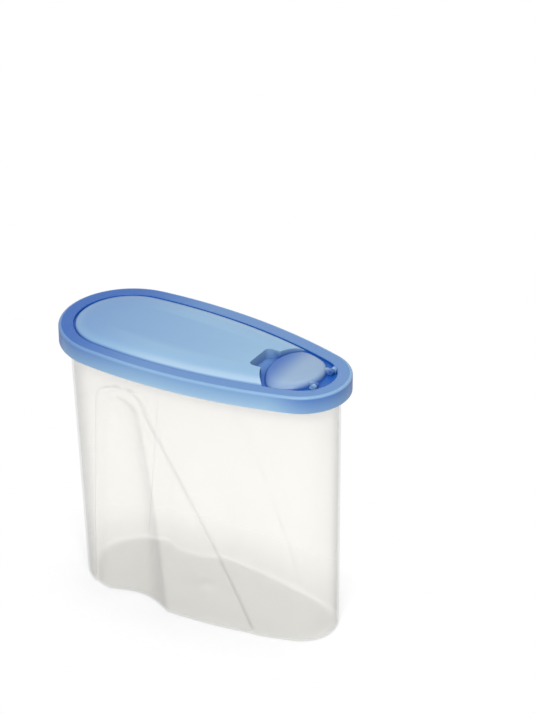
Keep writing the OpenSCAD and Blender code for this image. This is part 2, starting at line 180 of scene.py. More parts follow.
def finish_mesh(bm, name, sharp_degrees=35):
    """Merges doubles, turns normals out, scales to metres and makes an object."""
    bmesh.ops.remove_doubles(bm, verts=bm.verts, dist=MERGE_MM)
    bmesh.ops.recalc_face_normals(bm, faces=bm.faces)
    bmesh.ops.scale(bm, vec=(MM, MM, MM), verts=bm.verts)
    mesh = bpy.data.meshes.new(name)
    bm.to_mesh(mesh)
    bm.free()
    soften(mesh, sharp_degrees)
    piece = bpy.data.objects.new(name, mesh)
    bpy.context.scene.collection.objects.link(piece)
    return piece


def soften(mesh, sharp_degrees):
    """Smooth shading, with edges kept sharp where faces turn by more than an angle."""
    mesh.polygons.foreach_set("use_smooth", [True] * len(mesh.polygons))
    mesh.set_sharp_from_angle(angle=math.radians(sharp_degrees))


def apply_modifiers(piece):
    """Puts the result of the modifiers into the mesh itself."""
    graph = bpy.context.evaluated_depsgraph_get()
    made = bpy.data.meshes.new_from_object(piece.evaluated_get(graph))
    piece.modifiers.clear()
    piece.data = made
    made.name = piece.name


def combine(piece, cutter, operation):
    """Adds, cuts or keeps what they share, with the exact solver, and removes the cutter."""
    step = piece.modifiers.new("combine", "BOOLEAN")
    step.operation = operation
    step.solver = "EXACT"
    step.object = cutter
    bpy.context.view_layer.update()
    apply_modifiers(piece)
    bpy.data.objects.remove(cutter)


def report(piece):
    piece.data.calc_loop_triangles()
    print(piece.name, "has", len(piece.data.loop_triangles), "triangles")


# %% [markdown]
# ## The shape of the tub
# The wall leans in from the mouth to the base. Each long side carries a panel, pressed
# in by about 2 mm, with an arched top and an edge that sweeps down to the front. In the
# panel lies the grip, a hollow that gets deeper towards the base, so that a hand can
# close round the tub. All edges are given as places along x for a height z.

# %% Panels and grips
LID_RIM_Z = 218.5
SKIRT_H = 13.0
LID_T = 1.5
WALL_T = 1.5
MOUTH_Z = LID_RIM_Z - LID_T
FOOT_R = 3.0

# Heights of the spring and the top of each arch, and depths at the base and at the top
PANEL = {"spring": 172.0, "top": 189.5, "top_x": -43.0, "foot_depth": 1.3, "top_depth": 1.2}
GRIP = {"spring": 166.0, "top": 180.0, "top_x": -46.0, "foot_depth": 9.8, "top_depth": 3.2}
# Places of the rear edges along x, at the base and at the spring
PANEL_REAR = (-79.5, -68.0)
GRIP_REAR = (-65.0, -58.5)
# Places of the front edges along x, at the base, half way and at the spring
SWEEP = (61.0, 23.5, -24.0)
GRIP_FRONT = (-9.0, -16.5, -28.5)
# Widths of the sloping band along the sweep and of the step round the rest of the panel
SWEEP_FOOT_W, SWEEP_TOP_W = 6.5, 2.0
EDGE_FOOT_W, EDGE_TOP_W, EDGE_FOOT_H = 2.6, 1.7, 12


def body_egg(z):
    """The outline of the wall at height z, between the base and the mouth."""
    t = min(1.0, z / (LID_RIM_Z - SKIRT_H))
    x1, r1 = mix(BASE_EGG["x1"], WALL_EGG["x1"], t), mix(BASE_EGG["r1"], WALL_EGG["r1"], t)
    x2, r2 = mix(BASE_EGG["x2"], WALL_EGG["x2"], t), mix(BASE_EGG["r2"], WALL_EGG["r2"], t)
    return egg(x1 - r1, x2 + r2, r1, r2, mix(BASE_EGG["rs"], WALL_EGG["rs"], t))


def through(places, t):
    """A parabola through places at the base, half way and at the spring of the arch."""
    a, b, c = places
    return a * (1 - t) * (1 - 2 * t) + 4 * b * t * (1 - t) + c * t * (2 * t - 1)


def arch(z, form, least=0.0):
    """Share of the width that an arched form still has at height z."""
    if z <= form["spring"]:
        return 1.0
    rise = (z - form["spring"]) / (form["top"] - form["spring"])
    return max(least, math.sqrt(max(0.0, 1 - rise * rise)))


def edges(z, form, rear, front, least=0.0):
    """Rear and front edge of a form at height z."""
    t = min(1.0, z / form["spring"])
    share = arch(z, form, least)
    rear_x = mix(rear[0], rear[1], t)
    return (mix(form["top_x"], rear_x, share), mix(form["top_x"], through(front, t), share))


def sweep_width(z):
    """Width of the sloping band along the sweep, wide at the base and narrow at the arch."""
    return mix(SWEEP_FOOT_W, SWEEP_TOP_W, min(1.0, z / PANEL["spring"]))


def edge_width(z):
    """Width of the step round the rest of the panel, softer at the foot."""
    return mix(EDGE_FOOT_W, EDGE_TOP_W, smooth(z / EDGE_FOOT_H))


def panel_share(x, z):
    """1 inside the panel, 0 outside, with a sloping edge in between."""
    step, half = 0.25, edge_width(z) / 2
    zp = min(z, PANEL["top"])
    rear, front = edges(zp, PANEL, PANEL_REAR, SWEEP)
    rear2, front2 = edges(zp - step, PANEL, PANEL_REAR, SWEEP)
    from_rear = (x - rear) / math.hypot(1, (rear - rear2) / step)
    from_front = (front - x) / math.hypot(1, (front - front2) / step)
    inside = min(from_rear, PANEL["top"] - z)
    band = (from_front + sweep_width(z) - half) / sweep_width(z)
    return min(smooth(inside / (2 * half) + 0.5), max(0.0, min(1.0, band)))


def grip_depth(x, z):
    """Depth of the hollow below its panel."""
    if z >= GRIP["top"]:
        return 0.0
    rear, front = edges(z, GRIP, GRIP_REAR, GRIP_FRONT)
    if not rear < x < front:
        return 0.0
    across = (2 * x - rear - front) / (front - rear)
    bowl = math.cos(math.pi / 2 * across)
    depth = mix(GRIP["foot_depth"], GRIP["top_depth"], z / GRIP["top"])
    return depth * bowl * arch(z, GRIP)


def wall_y(x, z, cut):
    """Half the width of the tub at x and z, outside, with the foot rounded by cut."""
    plain = half_width(grow(body_egg(z), -cut), x)
    share = panel_share(x, z)
    if share == 0.0:
        return plain
    panel_depth = mix(PANEL["foot_depth"], PANEL["top_depth"], z / PANEL["top"])
    return plain - share * (panel_depth + grip_depth(x, z))


grip_x = (GRIP_REAR[0] + GRIP_FRONT[0]) / 2
print("grip at the base:", round(half_width(BASE_EGG, grip_x) - wall_y(grip_x, 0, 0), 1), "mm deep")

# %% [markdown]
# ## The tub
# A flat grid would cut across the sweeping edges and show them as saw teeth. So the
# columns of the mesh follow the edges of the panel and the grip: a ring is extruded
# upwards row by row, and then each vertex slides to its place on the wall. The wall gets
# its thickness at the end, inwards, and the flange round the mouth is joined on.

# %% Columns and rows of the tub
REAR_STEPS, SIDE_STEPS, TIP_STEPS = 26, 30, 22
EDGE_STEPS, RIM_STEPS, GRIP_STEPS, FIELD_STEPS = 5, 3, 22, 26
# Towards the top of an arch its columns draw together, to no less than this share
LEAST_SHARE = 0.45


def spread(a, b, steps):
    """Even places from a to b, without b."""
    return [mix(a, b, i / steps) for i in range(steps)]


def column_places(z, e):
    """Places along x of the columns of one side at height z, from rear to tip."""
    zp = min(z, PANEL["top"])
    rear, front = edges(zp, PANEL, PANEL_REAR, SWEEP, LEAST_SHARE)
    grip_rear, grip_front = edges(min(z, GRIP["top"]), GRIP, GRIP_REAR, GRIP_FRONT, LEAST_SHARE)
    if z > GRIP["top"]:
        at_top = edges(GRIP["top"], PANEL, PANEL_REAR, SWEEP, LEAST_SHARE)
        scale = (front - rear) / (at_top[1] - at_top[0])
        grip_rear = rear + (grip_rear - at_top[0]) * scale
        grip_front = rear + (grip_front - at_top[0]) * scale
    half, band = edge_width(z) / 2, sweep_width(z)
    turn = math.acos(max(-1.0, min(1.0, (e["x1"] - rear + half) / e["r1"])))
    xs = [e["x1"] - e["r1"] * math.cos(turn * i / REAR_STEPS) for i in range(REAR_STEPS)]
    xs += spread(rear - half, rear + half, EDGE_STEPS)
    xs += spread(rear + half, grip_rear, RIM_STEPS)
    xs += spread(grip_rear, grip_front, GRIP_STEPS)
    xs += spread(grip_front, front - half, FIELD_STEPS)
    xs += spread(front - half, front - half + band, EDGE_STEPS)
    xs += spread(front - half + band, tip_join(e), SIDE_STEPS)
    turn = math.acos((tip_join(e) - e["x2"]) / e["r2"])
    xs += [e["x2"] + e["r2"] * math.cos(turn * (1 - i / TIP_STEPS)) for i in range(TIP_STEPS + 1)]
    return xs


def foot_cut(z):
    """How far the rounded bottom edge lies inside the wall at height z."""
    return 0.0 if z >= FOOT_R else FOOT_R - math.sqrt(FOOT_R ** 2 - (FOOT_R - z) ** 2)


def tub_ring(z):
    """The outline of the tub at height z, as places from the rear round by -y."""
    cut = foot_cut(z)
    xs = column_places(z, grow(body_egg(z), -cut))
    near = [(x, -wall_y(x, z, cut), z) for x in xs]
    return near + [(x, -y, z) for x, y, z in reversed(near[1:-1])]


# %% [markdown]
# The rows lie close together at the rounded foot and in the two arches, where the wall
# bends most.

# %% Heights of the rows
FOOT_ROWS, WALL_ROWS, GRIP_ARCH_ROWS, PANEL_ARCH_ROWS, MOUTH_ROWS = 6, 34, 14, 18, 8
LEAST_ROW = 0.12


def arch_rows(form, count):
    rise = form["top"] - form["spring"]
    return [form["spring"] + rise * math.sin(math.pi / 2 * i / count) for i in range(count + 1)]


rows = [FOOT_R * (1 - math.cos(math.pi / 2 * i / FOOT_ROWS)) for i in range(FOOT_ROWS + 1)]
rows += [mix(FOOT_R, GRIP["spring"], i / WALL_ROWS) for i in range(1, WALL_ROWS)]
rows += arch_rows(GRIP, GRIP_ARCH_ROWS) + arch_rows(PANEL, PANEL_ARCH_ROWS)
rows += [mix(PANEL["top"], MOUTH_Z, i / MOUTH_ROWS) for i in range(1, MOUTH_ROWS + 1)]
rows = sorted(rows)
rows = [z for i, z in enumerate(rows) if i == 0 or z - rows[i - 1] > LEAST_ROW]
print("the tub has", len(rows), "rows of", len(tub_ring(0)), "columns")

# %% [markdown]
# The skin starts at the gate mark, the shallow round dimple where the plastic was let
# into the mould. From there rings run out over the floor, round the foot and up the
# wall. A modifier then gives the skin its thickness, inwards.

# %% Rings from the gate to the foot
GATE_R, GATE_IN_R, GATE_BEVEL, GATE_D = 7.0, 2.0, 1.2, 0.8
FLOOR_SHARES = (0.25, 0.5, 0.75, 0.93)


def floor_ring(share, r, z):
    """A ring between a circle of radius r, at share 0, and the foot, at share 1."""
    ring = []
    for x, y, _ in tub_ring(0):
        far = math.hypot(x, y)
        here = mix(r, far, share)
        ring.append((x / far * here, y / far * here, z))
    return ring


def extrude_rings(bm, rings):
    """Extrudes a circle ring by ring and slides each new vertex to its place."""
    start = bmesh.ops.create_circle(bm, segments=len(rings[0]), radius=1)["verts"]
    loop = list(start)
    for vert, place in zip(loop, rings[0]):
        vert.co = place
    loop_edges = list({e for v in loop for e in v.link_edges})
    for ring in rings[1:]:
        made = bmesh.ops.extrude_edge_only(bm, edges=loop_edges)["geom"]
        fresh = {v for v in made if isinstance(v, bmesh.types.BMVert)}
        pair = {}
        for v in fresh:
            for e in v.link_edges:
                other = e.other_vert(v)
                if other not in fresh:
                    pair[other] = v
        loop = [pair[v] for v in loop]
        for vert, place in zip(loop, ring):
            vert.co = place
        loop_edges = [e for e in made if isinstance(e, bmesh.types.BMEdge)
                      and e.verts[0] in fresh and e.verts[1] in fresh]
    return start, loop


# %% Tub skin
TUB_SHARP_DEGREES = 50

bm = bmesh.new()
tub_rings = [floor_ring(0, r, GATE_D) for r in (GATE_IN_R, GATE_R - GATE_BEVEL)]
tub_rings += [floor_ring(share, GATE_R, 0) for share in (0, *FLOOR_SHARES)]
tub_rings += [tub_ring(z) for z in rows]
gate_verts = extrude_rings(bm, tub_rings)[0]
bmesh.ops.contextual_create(bm, geom=gate_verts)
tub = finish_mesh(bm, "container_body_shell", TUB_SHARP_DEGREES)
wall = tub.modifiers.new("wall", "SOLIDIFY")
wall.thickness = WALL_T * MM
wall.offset = -1
wall.use_even_offset = True
apply_modifiers(tub)
report(tub)

# %% [markdown]
# ## Sweeping a profile round the egg
# The rim, the skirt, the groove and the crowned panel of the lid are one profile that
# runs round the egg. The profile is drawn once at the rear end and spun about the
# centre of each arc in turn: rear circle, side arc, tip circle. A mirror makes the
# other half.

# %% Egg sweep
REAR_TURN_STEPS, SIDE_TURN_STEPS, TIP_TURN_STEPS = 40, 90, 30


def sweep(profile, closed):
    """A bmesh of a profile of (distance in, height) points, swept round the lid's egg."""
    e = LID_EGG
    bm = bmesh.new()
    verts = [bm.verts.new((e["x1"] - e["r1"] + k, 0, z)) for k, z in profile]
    path = [bm.edges.new(pair) for pair in zip(verts, verts[1:])]
    if closed:
        path.append(bm.edges.new((verts[-1], verts[0])))
    to_rear = math.atan2(-e["sy"], e["x1"] - e["sx"]) % (2 * math.pi)
    to_tip = math.atan2(-e["sy"], e["x2"] - e["sx"]) % (2 * math.pi)
    turns = (
        ((e["x1"], 0, 0), to_rear - math.pi, REAR_TURN_STEPS),
        ((e["sx"], e["sy"], 0), to_tip - to_rear, SIDE_TURN_STEPS),
        ((e["x2"], 0, 0), 2 * math.pi - to_tip, TIP_TURN_STEPS),
    )
    geom = verts + path
    for centre, angle, count in turns:
        geom = bmesh.ops.spin(bm, geom=geom, cent=centre, axis=(0, 0, 1), angle=angle,
                              steps=count, use_duplicate=False)["geom_last"]
    everything = list(bm.verts) + list(bm.edges) + list(bm.faces)
    bmesh.ops.mirror(bm, geom=everything, axis="Y", merge_dist=MERGE_MM / 2)
    return bm


def cap_ends(bm):
    """Closes the open loops of a swept skin with flat faces."""
    open_edges = [e for e in bm.edges if len(e.link_faces) == 1]
    bmesh.ops.edgeloop_fill(bm, edges=open_edges)


def arc(centre_k, centre_z, r, start, end, count):
    """Points of a profile on an arc, with angles in degrees from the inward direction."""
    angles = [math.radians(mix(start, end, i / count)) for i in range(count + 1)]
    return [(centre_k + r * math.cos(a), centre_z + r * math.sin(a)) for a in angles]


# %% [markdown]
# A thin flange runs round the mouth, and the skirt of the lid hides it. It keeps the soft
# wall in shape and gives the lid something to grip. Its root widens towards the wall. It
# is swept as a closed ring and joined to the wall, into which it sinks a little.

# %% Mouth flange
FLANGE_W, FLANGE_T, FLANGE_DROP = 5.6, 1.3, 2.6
FLANGE_SINK, FLANGE_BEVEL = 0.6, 0.3
ROOT_W, ROOT_SLOPE, ROOT_H = 0.2, 1, 1.6

flange_z = MOUTH_Z - FLANGE_DROP
flange = finish_mesh(sweep([
    (WALL_IN + FLANGE_SINK, flange_z),
    (WALL_IN - FLANGE_W + FLANGE_BEVEL, flange_z),
    (WALL_IN - FLANGE_W, flange_z - FLANGE_BEVEL),
    (WALL_IN - FLANGE_W, flange_z - FLANGE_T),
    (WALL_IN - ROOT_W, flange_z - FLANGE_T - ROOT_SLOPE),
    (WALL_IN + FLANGE_SINK, flange_z - FLANGE_T - ROOT_H),
], closed=True), "flange")
combine(tub, flange, "UNION")
soften(tub.data, TUB_SHARP_DEGREES)
report(tub)

# %% [markdown]
# ## The lid
# The rim is a flat band, 11 mm wide, with a rounded outer edge and a skirt outside. A
# narrow groove parts it from the panel, which rises like a pillow by 3 mm above the
# rim. A plug wall under the groove goes into the mouth. Outside and underside are swept
# as two open skins, because a single closed ring would leave a hole in the middle, and
# flat faces then close the panel.

# %% Profile of the crowned panel
RIM_W, RIM_EDGE_R, RIM_INNER_R = 11.3, 1.9, 0.8
GROOVE_W, GROOVE_D, GROOVE_LEAN = 0.9, 1.9, 0.1
CROWN_H, CROWN_W, CROWN_STEPS = 3.0, 20.0, 18
PLUG_H = 11.5
PLUG_IN = WALL_IN + WALL_T + 0.5
WELL_IN = PLUG_IN + LID_T
PANEL_IN = RIM_W + GROOVE_W


def crown_z(k):
    """Height of the crowned panel at a distance k in from the outline of the lid."""
    t = max(0.0, min(1.0, (k - PANEL_IN) / CROWN_W))
    return LID_RIM_Z - GROOVE_D + (GROOVE_D + CROWN_H) * math.sin(math.pi / 2 * math.sqrt(t))


def crown_profile(drop, inward):
    """The panel from its groove to its flat middle, lowered and shifted in."""
    runs = [CROWN_W * (i / CROWN_STEPS) ** 2 for i in range(CROWN_STEPS + 1)]
    return [(PANEL_IN + inward + run, crown_z(PANEL_IN + run) - drop) for run in runs]


print("the panel starts", PANEL_IN, "mm in and rises to", round(crown_z(PANEL_IN + CROWN_W), 1), "mm")

# %% Lid shell
# Two points beside the rounded edges hold the rim flat in between
HOLD_OUT, HOLD_IN = 0.5, 2.0
# The underside of the slope is shifted in, so that the wall stays even
UNDER_SHIFT = LID_T * 0.8

outside = [(0, LID_RIM_Z - SKIRT_H)]
outside += arc(RIM_EDGE_R, LID_RIM_Z - RIM_EDGE_R, RIM_EDGE_R, 180, 90, 8)
outside += [(RIM_EDGE_R + HOLD_OUT, LID_RIM_Z), (RIM_W - HOLD_IN, LID_RIM_Z)]
outside += arc(RIM_W - RIM_INNER_R, LID_RIM_Z - RIM_INNER_R, RIM_INNER_R, 90, 0, 4)
outside += [(RIM_W + GROOVE_LEAN, LID_RIM_Z - GROOVE_D)]
outside += crown_profile(0, 0)
underside = list(reversed(crown_profile(LID_T, UNDER_SHIFT)))
underside += [
    (WELL_IN, LID_RIM_Z - GROOVE_D - LID_T),
    (WELL_IN, LID_RIM_Z - PLUG_H),
    (PLUG_IN, LID_RIM_Z - PLUG_H),
    (PLUG_IN, MOUTH_Z),
    (LID_T, MOUTH_Z),
    (LID_T, LID_RIM_Z - SKIRT_H),
    (0, LID_RIM_Z - SKIRT_H),
]
bm = sweep(outside, closed=False)
under = sweep(underside, closed=False)
under_mesh = bpy.data.meshes.new("under")
under.to_mesh(under_mesh)
bm.from_mesh(under_mesh)
bmesh.ops.remove_doubles(bm, verts=bm.verts, dist=MERGE_MM)
cap_ends(bm)
lid = finish_mesh(bm, "lid_shell")
report(lid)

# %% [markdown]
# ## The well of the spout
# The flap lies in a well that is cut through the panel. Behind its round rear edge runs
# a channel, and a finger pocket lets a fingertip get under that edge. The cuts are made
# with plain prisms and the exact solver.

# %% Prisms
FLAP_R, FLAP_IN, FLAP_GAP, FLAP_T = 38.0, 24, 0.6, 1.4
CHANNEL_W, SEAT_D, SEAT_W = 3.5, 2.3, 3.4
POCKET_L, POCKET_W, POCKET_R, POCKET_D = 12, 27.4, 4.0, 5.3
POCKET_UNDER, POCKET_PAST = 1.1, 6
ABOVE = 2
PRISM_SIDES = 240

FLAP_X = TIP_X - FLAP_IN
WELL_R = FLAP_R + CHANNEL_W
SEAT_Z = LID_RIM_Z - SEAT_D
TOP_Z = LID_RIM_Z + CROWN_H + ABOVE
POCKET_X = FLAP_X - FLAP_R - POCKET_L


def prism(centre_x, r, low, high):
    """A round prism about a vertical axis."""
    bm = bmesh.new()
    place = Matrix.Translation((centre_x, 0, (low + high) / 2))
    bmesh.ops.create_cone(bm, cap_ends=True, segments=PRISM_SIDES, radius1=r, radius2=r,
                          depth=high - low, matrix=place)
    return finish_mesh(bm, "prism")


def egg_prism(k, low, high):
    """A prism of the egg, k inside the outline of the lid."""
    bm = sweep([(k, low), (k, high)], closed=False)
    cap_ends(bm)
    return finish_mesh(bm, "egg_prism")


def under_crown(drop):
    """Everything below the panel, as a solid."""
    bm = sweep([(PANEL_IN, LID_RIM_Z - PLUG_H)] + crown_profile(drop, 0), closed=False)
    cap_ends(bm)
    return finish_mesh(bm, "under_crown")


def well_prism(r, k, low, high):
    """A prism with a round rear edge and the sides of the egg."""
    well = prism(FLAP_X, r, low, high)
    combine(well, egg_prism(k, low, high), "INTERSECT")
    return well


def pocket_prism(grown, low, high):
    """The finger pocket: a box with round rear corners and a round front."""
    bm = bmesh.new()
    rear, front = POCKET_X - grown, FLAP_X - FLAP_R + POCKET_PAST
    half = POCKET_W / 2 + grown
    bmesh.ops.create_cube(bm, size=1)
    bmesh.ops.scale(bm, vec=(front - rear, 2 * half, high - low), verts=bm.verts)
    bmesh.ops.translate(bm, vec=((front + rear) / 2, 0, (high + low) / 2), verts=bm.verts)
    middle_x = (rear + front) / 2
    upright = [e for e in bm.edges if abs(e.verts[0].co.z - e.verts[1].co.z) > (high - low) / 2]
    corners = [e for e in upright if e.verts[0].co.x < middle_x]
    bmesh.ops.bevel(bm, geom=corners, offset=POCKET_R + grown, offset_type="OFFSET", segments=10,
                    profile=0.5, affect="EDGES", material=-1)
    pocket = finish_mesh(bm, "pocket")
    combine(pocket, prism(FLAP_X, FLAP_R - POCKET_UNDER - grown, low - 1, high + 1), "DIFFERENCE")
    return pocket


# %% [markdown]
# The outline of the flap is where three shapes meet: the round rear edge, the sides of
# the egg and the round nose. From the middle of the flap, the reach in each direction
# is the shortest of the three reaches. A soft minimum rounds the corners.

# %% Flap outline
NOSE_R, NOSE_IN = 30.0, 20
CORNER_R = 1.6
FLAP_SIDES = 180

NOSE_X = TIP_X - NOSE_IN
FLAP_CENTRE = (FLAP_X - FLAP_R + NOSE_X) / 2


def ray_to_circle(angle, centre_x, centre_y, r):
    """Distance from the middle of the flap to a circle."""
    dx, dy = FLAP_CENTRE - centre_x, -centre_y
    b = dx * math.cos(angle) + dy * math.sin(angle)
    return math.sqrt(b * b - dx * dx - dy * dy + r * r) - b


def ray_to_egg(angle, e):
    """Distance from the middle of the flap to an egg."""
    turn = math.atan2(abs(math.sin(angle)), math.cos(angle))
    side = ray_to_circle(turn, e["sx"], -e["sy"], e["rs"])
    if FLAP_CENTRE + side * math.cos(angle) <= tip_join(e):
        return side
    return ray_to_circle(turn, e["x2"], 0, e["r2"])


def flap_reach(angle, inward):
    """Distance from the middle of the flap to its outline, smaller by inward."""
    reaches = (
        ray_to_circle(angle, FLAP_X, 0, FLAP_R - inward),
        ray_to_egg(angle, grow(LID_EGG, -(WELL_IN + FLAP_GAP + inward))),
        ray_to_circle(angle, NOSE_X - NOSE_R, 0, NOSE_R - inward),
    )
    return -CORNER_R * math.log(sum(math.exp(-r / CORNER_R) for r in reaches))


def flap_outline(inward):
    """Places round the flap, smaller by inward."""
    places = []
    for i in range(FLAP_SIDES):
        angle = 2 * math.pi * i / FLAP_SIDES
        r = flap_reach(angle, inward)
        places.append((FLAP_CENTRE + r * math.cos(angle), r * math.sin(angle)))
    return places


def spout_prism(inward, low, high):
    """A prism of the flap's outline, smaller by inward."""
    bm = bmesh.new()
    outline = flap_outline(inward)
    for ends in extrude_rings(bm, [[(x, y, z) for x, y in outline] for z in (low, high)]):
        bmesh.ops.contextual_create(bm, geom=ends)
    return finish_mesh(bm, "spout_prism")


# %% [markdown]
# The well and the pocket go deeper than the panel is thick, so they need walls and floors
# of their own. Each is first joined on as a block, one wall larger than the space, and
# then the space is cut out of it. The last cut is the pouring opening in the seat.

# %% Cut and build the well
PAST = 1

pocket_low = LID_RIM_Z - POCKET_D - LID_T
wall_block = well_prism(WELL_R + LID_T, WELL_IN, SEAT_Z - LID_T, TOP_Z)
combine(wall_block, under_crown(LID_T / 2), "INTERSECT")
combine(lid, wall_block, "UNION")
seat_block = well_prism(WELL_R + LID_T / 2, WELL_IN - LID_T / 2, SEAT_Z - LID_T, SEAT_Z)
combine(lid, seat_block, "UNION")
combine(lid, pocket_prism(LID_T, pocket_low, LID_RIM_Z + CROWN_H - LID_T / 2), "UNION")
combine(lid, well_prism(WELL_R, WELL_IN, SEAT_Z, TOP_Z), "DIFFERENCE")
combine(lid, pocket_prism(0, pocket_low + LID_T, TOP_Z), "DIFFERENCE")
combine(lid, spout_prism(SEAT_W, SEAT_Z - LID_T - PAST, SEAT_Z + PAST), "DIFFERENCE")
report(lid)

# %% [markdown]
# ## The hinge
# Two ears stand in the well, and the pins of the flap turn in blind bores in them. Each
# ear is a round rod on the hinge line with a block below it. The two sides are built in
# one loop, so they can't differ.

# %% Rods and blocks on the hinge line
HINGE_PAST, HINGE_UP = 1.5, 2.3
PIN_R, PIN_L, PIN_GAP, KNUCKLE_R, EAR_R = 1.2, 2.4, 0.05, 1.8, 2.2
KNUCKLE_Y, KNUCKLE_W, EAR_GAP, EAR_W = 9.5, 3.4, 0.4, 3.4
ROD_SIDES = 48

HINGE_X, HINGE_Z = NOSE_X + HINGE_PAST, SEAT_Z + HINGE_UP
EAR_Y = KNUCKLE_Y + KNUCKLE_W + EAR_GAP


def on_side(side, a, b):
    """The span from a to b on one side of the middle plane, lower end first."""
    return sorted((side * a, side * b))


def rod(r, y0, y1):
    """A rod on the hinge line."""
    bm = bmesh.new()
    lie = Matrix.Rotation(math.pi / 2, 4, "X")
    bmesh.ops.create_cone(bm, cap_ends=True, segments=ROD_SIDES, radius1=r, radius2=r, depth=abs(y1 - y0),
                          matrix=Matrix.Translation((HINGE_X, (y0 + y1) / 2, HINGE_Z)) @ lie)
    return finish_mesh(bm, "rod")


def block(x0, x1, y0, y1, z0, z1):
    bm = bmesh.new()
    bmesh.ops.create_cube(bm, size=1)
    bmesh.ops.scale(bm, vec=(x1 - x0, y1 - y0, z1 - z0), verts=bm.verts)
    bmesh.ops.translate(bm, vec=((x0 + x1) / 2, (y0 + y1) / 2, (z0 + z1) / 2), verts=bm.verts)
    return finish_mesh(bm, "block")


print("the hinge lies at x", round(HINGE_X, 1), "and z", round(HINGE_Z, 1))

# %% Ears
LID_SHARP_DEGREES = 30

for side in (-1, 1):
    y0, y1 = on_side(side, EAR_Y, EAR_Y + EAR_W)
    ear = rod(EAR_R, y0, y1)
    foot = block(HINGE_X - EAR_R, HINGE_X + EAR_R, y0, y1, SEAT_Z - LID_T / 2, HINGE_Z)
    combine(ear, foot, "UNION")
    combine(lid, ear, "UNION")
    bore = rod(PIN_R + PIN_GAP, *on_side(side, EAR_Y - PAST, EAR_Y + PIN_L))
    combine(lid, bore, "DIFFERENCE")
soften(lid.data, LID_SHARP_DEGREES)
report(lid)

# %% [markdown]
# ## The flap
# The flap follows the crown of the panel, and its edge rolls down over a few
# millimetres, so that it reads as a soft cap. One closed skin makes it: rings run from
# the middle of the underside out to the lip, round the lip and the rolled edge, and
# back over the top. Each vertex takes the height of the crown, less what the roll
# takes away.

# %% Rings of the flap
ROLL_W, ROLL_FOOT = 4.5, 0.4
LIP_H, LIP_T, LIP_GAP = 2.0, 1.2, 0.6
LIP_OUT = SEAT_W + LIP_GAP
LIP_IN = LIP_OUT + LIP_T


def roll_z(x, y, inward, thick):
    """Height of the flap, inward from its edge. The underside is lower by its thickness."""
    low = SEAT_Z + ROLL_FOOT
    top = crown_z(depth_in(LID_EGG, x, y)) - thick
    t = min(1.0, inward / ROLL_W)
    return low + max(0.0, top - low) * math.sqrt(1 - (1 - t) ** 2)


def roll_ring(inward, thick):
    """A ring that follows the rolled edge."""
    return [(x, y, roll_z(x, y, inward, thick)) for x, y in flap_outline(inward + thick)]


def field_ring(inward, thick, share):
    """A ring inside the rolled edge, drawn in to a share of its outline."""
    middle = [(mix(FLAP_CENTRE, x, share), y * share) for x, y in flap_outline(inward + thick)]
    return [(x, y, roll_z(x, y, ROLL_W, thick)) for x, y in middle]


def flat_ring(inward, z):
    """A ring at one height."""
    return [(x, y, z) for x, y in flap_outline(inward)]


# %% Flap skin
ROLL_SHARES = [(i / 10) ** 2 for i in range(11)]
UNDER_SHARES = ROLL_SHARES[:6]
FIELD_SHARES = (0.03, 0.15, 0.3, 0.45, 0.6, 0.72, 0.82, 0.91)
LIP_LOW = SEAT_Z - LIP_H
LIP_CUT, LIP_CUT_UP, FLAP_BEVEL = 0.3, 0.2, 0.15

rings = [field_ring(LIP_IN - FLAP_T, FLAP_T, share) for share in FIELD_SHARES]
rings += [roll_ring(LIP_IN - FLAP_T, FLAP_T), flat_ring(LIP_IN, LIP_LOW + LIP_CUT_UP)]
rings += [flat_ring(LIP_IN - LIP_CUT, LIP_LOW), flat_ring(LIP_OUT + LIP_CUT, LIP_LOW)]
rings += [flat_ring(LIP_OUT, LIP_LOW + LIP_CUT_UP), roll_ring(LIP_OUT - FLAP_T, FLAP_T)]
rings += [roll_ring(t * ROLL_W, FLAP_T) for t in reversed(UNDER_SHARES)]
rings += [flat_ring(FLAP_T, SEAT_Z), flat_ring(FLAP_BEVEL, SEAT_Z), flat_ring(0, SEAT_Z + FLAP_BEVEL)]
rings += [roll_ring(t * ROLL_W, 0) for t in ROLL_SHARES]
rings += [field_ring(ROLL_W, 0, share) for share in reversed(FIELD_SHARES)]
bm = bmesh.new()
for ends in extrude_rings(bm, rings):
    bmesh.ops.contextual_create(bm, geom=ends)
flap = finish_mesh(bm, "spout_flap_shell", 40)
report(flap)

# %% [markdown]
# At its nose the flap has two knuckles, each on a short arm, with a pin that points
# outwards into the ear.

# %% Knuckles and pins of the flap
ARM_L = 3.5
FLAP_SHARP_DEGREES = 35

for side in (-1, 1):
    y0, y1 = on_side(side, KNUCKLE_Y, KNUCKLE_Y + KNUCKLE_W)
    knuckle = rod(KNUCKLE_R, y0, y1)
    arm = block(NOSE_X - ARM_L, HINGE_X, y0, y1, HINGE_Z - KNUCKLE_R, HINGE_Z + KNUCKLE_R)
    combine(knuckle, arm, "UNION")
    pin = rod(PIN_R, *on_side(side, KNUCKLE_Y + PAST, EAR_Y + PIN_L - EAR_GAP))
    combine(knuckle, pin, "UNION")
    combine(flap, knuckle, "UNION")
soften(flap.data, FLAP_SHARP_DEGREES)
report(flap)

# %% [markdown]
# ## Depth of the tint, with painted light and shade
# The blue plastic is dyed through, and some light passes it. Where a wall is seen edge
# on or is doubled, more dye lies in the way and the blue is deeper, and the thin panel
# looks pale. Shade in grooves, in hollows and towards the ends is painted on as deeper
# blue, and some edges and slopes get painted highlights. None of this can be left to a
# plain colour, so each vertex gets a number from 0, pale, to 1, deep, from its own place
# on the part.

# %% Painting a tint, with painted shade and highlights
def paint_tint_and_shade(piece, rule):
    """Stores a depth of tint, with painted shade and highlights, on every vertex, from its place in
    millimetres.
    """
    values = [rule(*(v.co / MM)) for v in piece.data.vertices]
    layer = piece.data.attributes.new("tint_and_shade", "FLOAT", "POINT")
    layer.data.foreach_set("value", values)
    print(piece.name, "has a tint from", round(min(values), 2), "to", round(max(values), 2))


